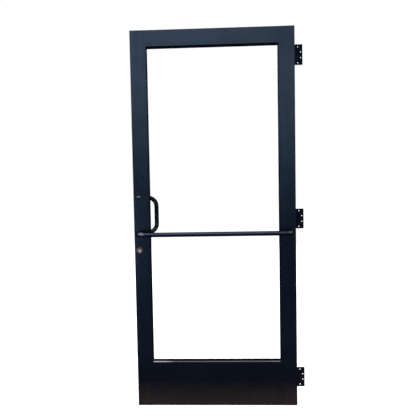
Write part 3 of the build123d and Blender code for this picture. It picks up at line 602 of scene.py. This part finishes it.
def finish_piece(bm, name, body, material, replaced):
    """Turns the built shape into a smooth piece that stands for one CAD node."""
    bmesh.ops.recalc_face_normals(bm, faces=bm.faces)
    mesh = mesh_from(bm, name, material)
    mesh.shade_smooth()
    mesh.set_sharp_from_angle(angle=SHARP_ANGLE)
    piece = put_in_scene(name, mesh)
    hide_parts(replaced)
    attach(piece, body)


def extend(bm, ring, move):
    """Extrudes the open end of a tube in a straight line and returns its new end."""
    grown = bmesh.ops.extrude_edge_only(bm, edges=ring)["geom"]
    moved = [item for item in grown if isinstance(item, bmesh.types.BMVert)]
    bmesh.ops.translate(bm, verts=moved, vec=move)
    return [item for item in grown if isinstance(item, bmesh.types.BMEdge)]


def bent_rod(points, bend_radii, rod_radius, sizes):
    """A round rod that follows straight runs, with a true bend at each corner between them."""
    points = [Vector(point) for point in points]
    heading = (points[1] - points[0]).normalized()
    turn_to_heading = heading.to_track_quat("Z", "Y").to_matrix().to_4x4()
    bm = bmesh.new()
    bmesh.ops.create_circle(
        bm,
        cap_ends=True,
        segments=sizes.rod_sides,
        radius=rod_radius,
        matrix=Matrix.Translation(points[0]) @ turn_to_heading,
    )
    foot = list(bm.edges)
    ring = foot
    reached = points[0]
    for before, corner, after, bend_radius in zip(points, points[1:], points[2:], bend_radii):
        arriving = (corner - before).normalized()
        leaving = (after - corner).normalized()
        turn = arriving.angle(leaving)
        setback = bend_radius * math.tan(turn / 2)
        bend_start = corner - arriving * setback
        ring = extend(bm, ring, bend_start - reached)
        axis = arriving.cross(leaving).normalized()
        spun = bmesh.ops.spin(
            bm,
            geom=ring,
            cent=bend_start + axis.cross(arriving) * bend_radius,
            axis=axis,
            angle=turn,
            steps=sizes.bend_steps,
            use_merge=False,
        )
        ring = [item for item in spun["geom_last"] if isinstance(item, bmesh.types.BMEdge)]
        reached = corner + leaving * setback
    ring = extend(bm, ring, points[-1] - reached)
    bmesh.ops.edgeloop_fill(bm, edges=ring)
    bmesh.ops.bevel(
        bm,
        geom=foot + ring,
        offset=sizes.foot_edge,
        segments=3,
        affect="EDGES",
        profile=0.5,
        material=-1,
    )
    return bm


def round_seat(node, facing):
    """A round CAD node's radius, its height and the middle of its side against the door."""
    low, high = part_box(node)
    seat_y = low.y if facing == PULL_SIDE else high.y
    centre = Vector(((low.x + high.x) / 2, seat_y, (low.z + high.z) / 2))
    return (high.x - low.x) / 2, high.y - low.y, centre


def turned(outline, centre, facing, steps):
    """A closed outline of radius and height, spun round the Y axis through the centre."""
    bm = bmesh.new()
    corners = [bm.verts.new(centre + Vector((radius, facing * height, 0))) for radius, height in outline]
    sides = [bm.edges.new(pair) for pair in zip(corners, corners[1:] + corners[:1])]
    bmesh.ops.spin(
        bm,
        geom=corners + sides,
        cent=centre,
        axis=(0, 1, 0),
        angle=math.tau,
        steps=steps,
        use_merge=True,
    )
    bmesh.ops.remove_doubles(bm, verts=bm.verts, dist=SAME_PLACE)
    return bm


def from_axis(point, centre):
    """Distance of a point from the Y axis through the centre."""
    return math.hypot(point.x - centre.x, point.z - centre.z)


def round_rim(bm, centre, radius, height, offset, segments):
    """Rounds the circular edge at this radius and height."""

    def on_rim(point):
        off_radius = abs(from_axis(point, centre) - radius)
        off_height = abs(abs(point.y - centre.y) - height)
        return off_radius < ON_RIM and off_height < ON_RIM

    bmesh.ops.bevel(
        bm,
        geom=[edge for edge in bm.edges if all(on_rim(vert.co) for vert in edge.verts)],
        offset=offset,
        segments=segments,
        affect="EDGES",
        profile=0.5,
        material=-1,
    )


class DOOR_OT_frame(bpy.types.Operator):
    """Finish the stiles, the rails and the glazing stops"""

    bl_idname = "door.frame"
    bl_label = "Stiles, Rails and Stops"

    def execute(self, context):
        colours = context.scene.door_colours
        dress(STILES, anodised_extrusion("dark_anodised_stile", colours, ALONG_Z, SOFT_EDGE))
        dress(RAILS, anodised_extrusion("dark_anodised_rail", colours, ALONG_X, SOFT_EDGE))
        dress(SIDE_STOPS, anodised_extrusion("dark_anodised_side_stop", colours, ALONG_Z, DARK_EDGE))
        dress(CROSS_STOPS, anodised_extrusion("dark_anodised_cross_stop", colours, ALONG_X, DARK_EDGE))
        # The front bottom stop carries the painted highlight on its ledge.
        highlit_ledge = anodised_extrusion("dark_anodised_highlit_stop", colours, ALONG_X, DARK_EDGE, highlit_ledge=True)
        dress(["front_bottom_stop"], highlit_ledge)
        return {"FINISHED"}


class DOOR_OT_glazing(bpy.types.Operator):
    """Finish the glass, its gaskets and its setting blocks"""

    bl_idname = "door.glazing"
    bl_label = "Glass and Gaskets"

    def execute(self, context):
        colours = context.scene.door_colours
        dress(["glass_pane"], clear_glass(colours))
        # Lamplight, bounced light and reflections pass as if the pane were not there. Traced
        # through it, they turn grainy.
        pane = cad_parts["glass_pane"]
        pane.visible_diffuse = False
        pane.visible_glossy = False
        pane.visible_shadow = False
        dress(["front_gasket", "back_gasket", "setting_blocks"], black_rubber(colours))
        return {"FINISHED"}


class DOOR_OT_push_bar(bpy.types.Operator):
    """Build the smooth push bar between its two feet"""

    bl_idname = "door.push_bar"
    bl_label = "Push Bar"

    def execute(self, context):
        sizes = context.scene.door_sizes
        low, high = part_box("push_bar")
        radius = (high.z - low.z) / 2
        centre_z = (high.z + low.z) / 2
        lock_x, hinge_x = low.x + radius, high.x - radius
        foot_y, run_y = high.y, low.y + radius
        route = [
            (lock_x, foot_y, centre_z),
            (lock_x, run_y, centre_z),
            (hinge_x, run_y, centre_z),
            (hinge_x, foot_y, centre_z),
        ]
        bar = bent_rod(route, [sizes.bar_bend] * 2, radius, sizes)
        material = anodised_grip(context.scene.door_colours)
        finish_piece(bar, "bent_push_bar", "door", material, "push_bar")
        return {"FINISHED"}


class DOOR_OT_pull_handle(bpy.types.Operator):
    """Build the smooth offset pull on the far face, with the push bar's finish"""

    bl_idname = "door.pull_handle"
    bl_label = "Pull Handle"

    def execute(self, context):
        sizes = context.scene.door_sizes
        bar_low, bar_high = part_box("push_bar")
        radius = (bar_high.z - bar_low.z) / 2
        low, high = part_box("pull_handle")
        foot_x, grip_x = low.x + radius, high.x - radius
        foot_y, grip_y = low.y, high.y - radius
        bend_y = foot_y + sizes.pull_foot
        top_z, bottom_z = high.z - radius, low.z + radius
        route = [
            (foot_x, foot_y, top_z),
            (foot_x, bend_y, top_z),
            (grip_x, grip_y, top_z),
            (grip_x, grip_y, bottom_z),
            (foot_x, bend_y, bottom_z),
            (foot_x, foot_y, bottom_z),
        ]
        bends = [sizes.pull_foot_bend, sizes.pull_grip_bend, sizes.pull_grip_bend, sizes.pull_foot_bend]
        pull = bent_rod(route, bends, radius, sizes)
        material = bpy.data.materials["dark_anodised_bar"]
        finish_piece(pull, "bent_pull_handle", "door", material, "pull_handle")
        return {"FINISHED"}


class DOOR_OT_cap_washers(bpy.types.Operator):
    """Turn the two cap washers and finish the bolts they hold"""

    bl_idname = "door.cap_washers"
    bl_label = "Cap Washers and Bolts"

    def execute(self, context):
        sizes = context.scene.door_sizes
        colours = context.scene.door_colours
        material = washer_with_rim_glint(colours)
        for place, facing in (("pull", PUSH_SIDE), ("push_bar", PULL_SIDE)):
            node = f"{place}_cap_washer"
            radius, height, centre = round_seat(node, facing)
            bolt_seat = height - sizes.washer_recess_depth
            outline = [
                (sizes.washer_hole, 0),
                (radius, 0),
                (radius, height),
                (sizes.washer_recess, height),
                (sizes.washer_recess, bolt_seat),
                (sizes.washer_hole, bolt_seat),
            ]
            washer = turned(outline, centre, facing, sizes.turned_steps)
            rounding = min(sizes.washer_round, radius - sizes.washer_recess)
            round_rim(washer, centre, radius, height, rounding, segments=10)
            rim = washer.verts.layers.float.new("rim")
            for vert in washer.verts:
                past_start = from_axis(vert.co, centre) / radius - RIM_GLINT_START
                vert[rim] = max(0.0, past_start) / (1 - RIM_GLINT_START)
            finish_piece(washer, f"turned_{node}", "door", material, node)
        dress(THROUGH_BOLTS, blackened_steel(colours))
        return {"FINISHED"}


class DOOR_OT_hinges(bpy.types.Operator):
    """Finish the hinge leaves, pins, plugs and screws"""

    bl_idname = "door.hinges"
    bl_label = "Hinges"

    def execute(self, context):
        coated = bronze_coated_steel(context.scene.door_colours)
        dress(HINGE_LEAVES + HINGE_PINS + ["hinge_tip_plugs", "hinge_screws"], coated)
        return {"FINISHED"}


class DOOR_OT_cylinders(bpy.types.Operator):
    """Turn the cylinder collars and finish the cylinders, key plugs and cams"""

    bl_idname = "door.cylinders"
    bl_label = "Lock Cylinders"

    def execute(self, context):
        sizes = context.scene.door_sizes
        colours = context.scene.door_colours
        brass = aged_brass("aged_brass", colours.brass, colours.brass_tarnish_and_shade)
        # The recessed cylinder heads are painted darker, as shade inside their collars.
        darker_brass = aged_brass("recess_shaded_brass", colours.brass_tarnish_and_shade, colours.brass_recess_shade)
        for place, facing in (("inside", PUSH_SIDE), ("outside", PULL_SIDE)):
            head_low, head_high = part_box(f"{place}_cylinder")
            inner = (head_high.x - head_low.x) / 2 + sizes.collar_gap
            node = f"{place}_collar"
            radius, height, centre = round_seat(node, facing)
            outline = [(inner, 0), (radius, 0), (radius, height), (inner, height)]
            collar = turned(outline, centre, facing, sizes.turned_steps)
            round_rim(collar, centre, radius, height, sizes.collar_round, segments=6)
            finish_piece(collar, f"turned_{node}", "door", brass, node)
            dress([f"{place}_cylinder"], darker_brass)
        dress(CAMS, brass)
        dress(KEY_PLUGS, nickel_plate(colours))
        return {"FINISHED"}


class DOOR_OT_lock(bpy.types.Operator):
    """Finish the faceplate, the deadbolt, the lock case and the zinc plated parts"""

    bl_idname = "door.lock"
    bl_label = "Deadlock and Plated Parts"

    def execute(self, context):
        colours = context.scene.door_colours
        dress(["lock_faceplate", "faceplate_screws"], brushed_faceplate(colours))
        dress(["deadbolt"], ground_steel(colours))
        dress(LOCK_STEEL + TIE_RODS + ["hinge_backing_plates"], zinc_plated_steel(colours))
        return {"FINISHED"}


class DOOR_OT_inner_parts(bpy.types.Operator):
    """Finish the corner blocks and the bar's inserts"""

    bl_idname = "door.inner_parts"
    bl_label = "Corner Blocks and Inserts"

    def execute(self, context):
        mill_finish = mill_finish_aluminium(context.scene.door_colours)
        dress(CORNER_BLOCKS + ["push_bar_inserts"], mill_finish)
        return {"FINISHED"}


def seen_share(tree):
    """1 for rays from the camera, from reflections and through glass, and 0 for the rest."""
    path = add(tree, "LightPath").node.outputs
    seen = add(tree, "Math", [path["Is Camera Ray"], path["Is Glossy Ray"]], operation="MAXIMUM")
    return add(tree, "Math", [seen, path["Is Transmission Ray"]], operation="MAXIMUM")


def pale_floor(studio):
    """A flat painted floor: matt and pale, barely mottled, with the door's soft shadow on it.

    It is lifted to white where it is seen, and keeps its own colour for the light on the door.
    """
    material, tree, shader, place = new_material("pale_floor")
    blots = add(tree, "TexNoise", {"Vector": place, "Scale": scale_for(900), "Detail": 3})
    mottle = add(tree, "MapRange", [blots, *NOISE_RANGE, 0.98, 1])
    lift = add(tree, "Math", [seen_share(tree), studio.floor_lift], operation="MULTIPLY")
    fill(tree, shader, {
        "Base Color": add(tree, "HueSaturation", {"Value": mottle, "Color": studio.floor}),
        "Roughness": 0.9,
        "Emission Color": WHITE,
        "Emission Strength": lift,
    })
    bm = bmesh.new()
    bmesh.ops.create_grid(bm, x_segments=8, y_segments=8, size=FLOOR_REACH)
    bmesh.ops.translate(bm, verts=bm.verts, vec=(0, 0, -FLOOR_GAP))
    put_in_scene("studio_floor", mesh_from(bm, "studio_floor", material))


def white_world(studio):
    """A world that lights the door softly and reads white where it is seen."""
    world = bpy.data.worlds.new("studio_world")
    world.use_nodes = True
    bpy.context.scene.world = world
    tree = world.node_tree
    soft = tree.nodes["Background"]
    fill(tree, soft, {"Color": WHITE, "Strength": studio.world_level})
    white = add(tree, "Background", {"Color": WHITE, "Strength": 1})
    surface = add(tree, "MixShader", [seen_share(tree), soft.outputs[0], white])
    fill(tree, tree.nodes["World Output"], {"Surface": surface})


def lamp(name, place, target, width, height, level, roll=0):
    """A soft rectangular lamp whose surface is this many times as bright as white.

    It is rolled round its own axis by this many degrees, with its right end going down.
    """
    light = bpy.data.lights.new(name, "AREA")
    light.shape = "RECTANGLE"
    light.size = width
    light.size_y = height
    light.energy = level * math.pi * width * height
    holder = put_in_scene(name, light)
    holder.location = place
    aim = (Vector(target) - Vector(place)).to_track_quat("-Z", "Y")
    holder.rotation_euler = (aim @ Quaternion((0, 0, 1), math.radians(-roll))).to_euler()
    holder.visible_camera = False
    holder.visible_transmission = False


def set_lamps():
    """Four softboxes: high in front, low at the left, overhead, and behind the door."""
    middle = (0, 0, DOOR_HEIGHT / 2)
    front = (-0.6, -6.0, 3.65)
    left = (-2.4, -4.5, 0.35)
    over = (-0.3, -1.2, 3.6)
    rear = (1.2, 5.5, 3.4)
    lamp("high_front_softbox", front, (-0.2, 0, 1.6), width=7.0, height=3.8, level=4.3, roll=20)
    lamp("left_strip", left, (0, 0, 0.5), width=1.2, height=0.7, level=24.0)
    lamp("overhead_softbox", over, middle, width=2.4, height=1.4, level=5.0)
    lamp("rear_softbox", rear, middle, width=6.0, height=3.4, level=4.0)


def set_camera(studio):
    """The camera in front of the door, on the push side."""
    camera_data = bpy.data.cameras.new("camera")
    camera_data.lens = studio.lens
    camera_data.sensor_width = SENSOR_WIDTH
    camera = put_in_scene("camera", camera_data)
    camera.location = studio.camera_place
    camera.rotation_euler = studio.camera_turn
    bpy.context.scene.camera = camera


class DOOR_OT_studio(bpy.types.Operator):
    """Set up the floor, the lamps, the world and the camera"""

    bl_idname = "door.studio"
    bl_label = "Studio"

    def execute(self, context):
        studio = context.scene.door_studio
        context.scene.view_settings.view_transform = "Standard"
        pale_floor(studio)
        white_world(studio)
        set_lamps()
        set_camera(studio)
        return {"FINISHED"}


STEPS = [
    DOOR_OT_frame,
    DOOR_OT_glazing,
    DOOR_OT_push_bar,
    DOOR_OT_pull_handle,
    DOOR_OT_cap_washers,
    DOOR_OT_hinges,
    DOOR_OT_cylinders,
    DOOR_OT_lock,
    DOOR_OT_inner_parts,
    DOOR_OT_studio,
]


class DOOR_PT_panel(bpy.types.Panel):
    """Lists the steps that finish the door, and their settings"""

    bl_idname = "DOOR_PT_panel"
    bl_label = "Glazed Door"
    bl_space_type = "VIEW_3D"
    bl_region_type = "UI"
    bl_category = "Glazed Door"

    def draw(self, context):
        for step in STEPS:
            self.layout.operator(step.bl_idname)
        scene = context.scene
        for group in (scene.door_sizes, scene.door_colours, scene.door_studio):
            box = self.layout.box()
            for name in group.bl_rna.properties.keys():
                if name not in ("rna_type", "name"):
                    box.prop(group, name)


CLASSES = [DoorSizes, DoorColours, StudioSettings, *STEPS, DOOR_PT_panel]


def register():
    """Registers the classes and puts the settings on the scene."""
    for cls in CLASSES:
        bpy.utils.register_class(cls)
    bpy.types.Scene.door_sizes = PointerProperty(type=DoorSizes)
    bpy.types.Scene.door_colours = PointerProperty(type=DoorColours)
    bpy.types.Scene.door_studio = PointerProperty(type=StudioSettings)


def unregister():
    """Takes the settings off the scene and unregisters the classes."""
    del bpy.types.Scene.door_studio
    del bpy.types.Scene.door_colours
    del bpy.types.Scene.door_sizes
    for cls in reversed(CLASSES):
        bpy.utils.unregister_class(cls)


def main():
    """Runs every step in order."""
    register()
    bpy.ops.door.frame()
    bpy.ops.door.glazing()
    bpy.ops.door.push_bar()
    bpy.ops.door.pull_handle()
    bpy.ops.door.cap_washers()
    bpy.ops.door.hinges()
    bpy.ops.door.cylinders()
    bpy.ops.door.lock()
    bpy.ops.door.inner_parts()
    bpy.ops.door.studio()


if __name__ == "__main__":
    main()
